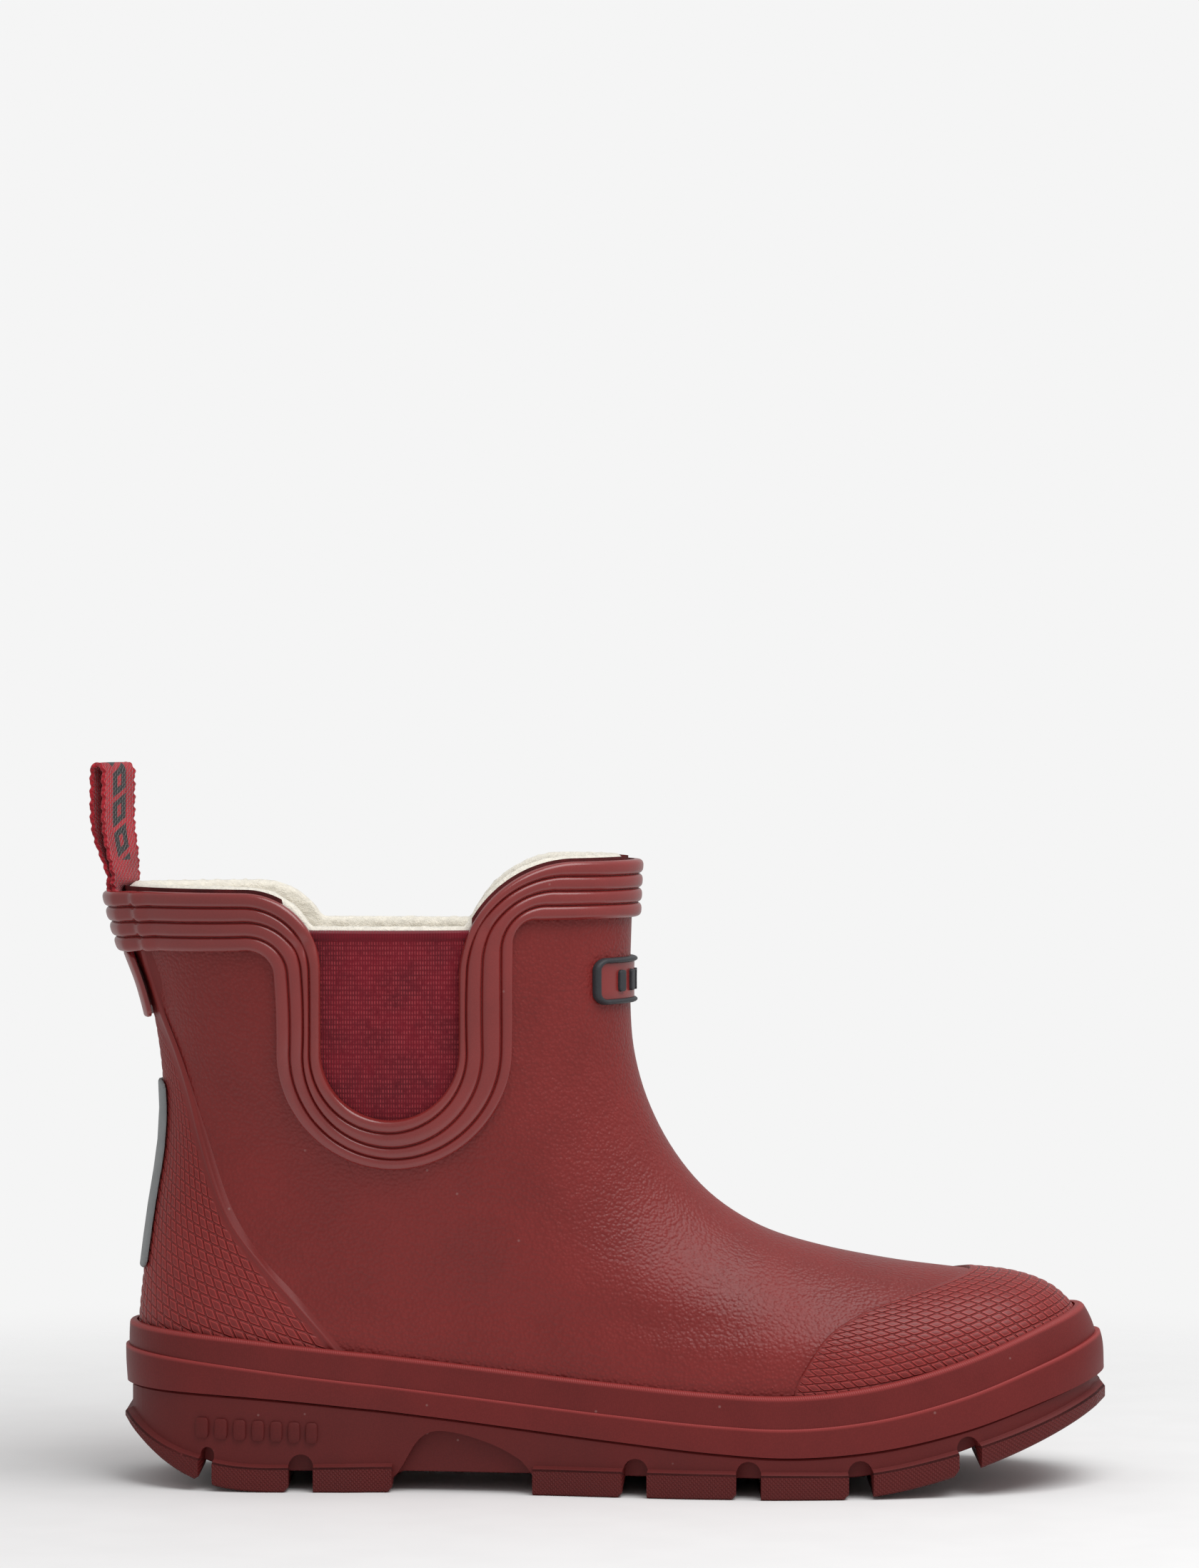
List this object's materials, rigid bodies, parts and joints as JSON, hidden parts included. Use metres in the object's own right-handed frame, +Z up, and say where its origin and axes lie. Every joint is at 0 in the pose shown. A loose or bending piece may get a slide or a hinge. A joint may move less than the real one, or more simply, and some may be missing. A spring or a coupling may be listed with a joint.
{
  "type": "rain boot",
  "caption": "Ankle-high lined rubber rain boot for the right foot, with elastic side gores, a ribbed collar, toe cap, heel counter, lugged sole and a webbing pull loop at the heel.",
  "frame": {"origin": "on the ground, under the middle of the boot's box", "axes": "+X to the toe, +Y to the medial side of this right boot, +Z up"},
  "size_m": [0.2938, 0.0992, 0.2066],
  "materials": {
    "shell_rubber": "satin",
    "sole_rubber": "matte",
    "elastic": "matte",
    "canvas": "matte",
    "pile": "matte",
    "board": "matte",
    "foam": "matte",
    "steel": "satin",
    "footbed_felt": "matte",
    "webbing": "matte",
    "black_rubber": "matte",
    "reflective": "satin"
  },
  "bodies": {
    "boot": {"upper_shell": "shell_rubber", "canvas_backing": "canvas", "sock_lining": "pile", "leg_lining": "pile", "toe_puff": "board", "heel_stiffener": "board", "lateral_gore": "elastic", "medial_gore": "elastic", "toe_cap": "shell_rubber", "heel_counter": "shell_rubber", "collar_band": "shell_rubber", "foxing_strip": "sole_rubber", "bumper_strip": "sole_rubber", "outsole": "sole_rubber", "sole_filler": "foam", "shank": "steel", "insole_board": "board", "footbed": "footbed_felt", "loop_tail": "webbing", "loop_patch": "shell_rubber", "reflective_strip": "reflective", "badge_base": "shell_rubber", "badge_rim": "black_rubber", "badge_mark_1": "black_rubber", "badge_mark_2": "black_rubber", "badge_mark_3": "black_rubber", "badge_mark_4": "black_rubber", "badge_mark_5": "black_rubber"},
    "loop": {"pull_loop": "webbing"}
  },
  "joints": [
    {"name": "pull_loop_fold", "type": "hinge", "parent": "boot", "child": "loop", "pos_m": [-0.13642, 0.00202, 0.1714], "axis": [0, 1, 0], "range_deg": [-66, 80], "stiffness_Nm_per_rad": 0.01}
  ]
}
